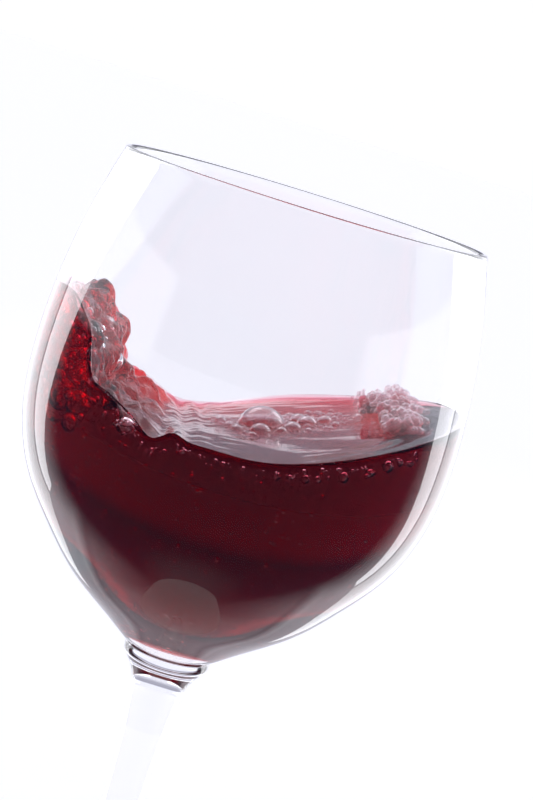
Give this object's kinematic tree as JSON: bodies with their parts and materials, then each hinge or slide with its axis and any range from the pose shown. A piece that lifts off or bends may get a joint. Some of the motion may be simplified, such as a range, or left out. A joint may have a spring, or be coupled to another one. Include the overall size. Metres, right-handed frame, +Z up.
{
  "type": "glass of red wine",
  "caption": "Stemmed wine glass filled to about half with red wine that is frozen in a freshly poured wave, with froth at its wall and floating bubbles.",
  "frame": {"origin": "centre of the foot's resting plane", "axes": "+Z up the stem to the rim, +X to the side where the wave climbs gently and the froth lies, -X to the splash, -Y to the viewer"},
  "size_m": [0.0916, 0.0916, 0.205],
  "materials": {
    "clear_glass": "fire-polished clear glass, colourless",
    "red_wine": "clear dark red liquid, near black where deep and bright red where thin",
    "wine_froth": "wet froth of clear bubbles, pale red",
    "wine_bubbles": "thin wet bubble film over the wine, with bright rims"
  },
  "bodies": {
    "root": {"glass": "clear_glass", "wine": "red_wine", "froth": "wine_froth", "bubble_raft": "wine_bubbles"}
  },
  "joints": []
}
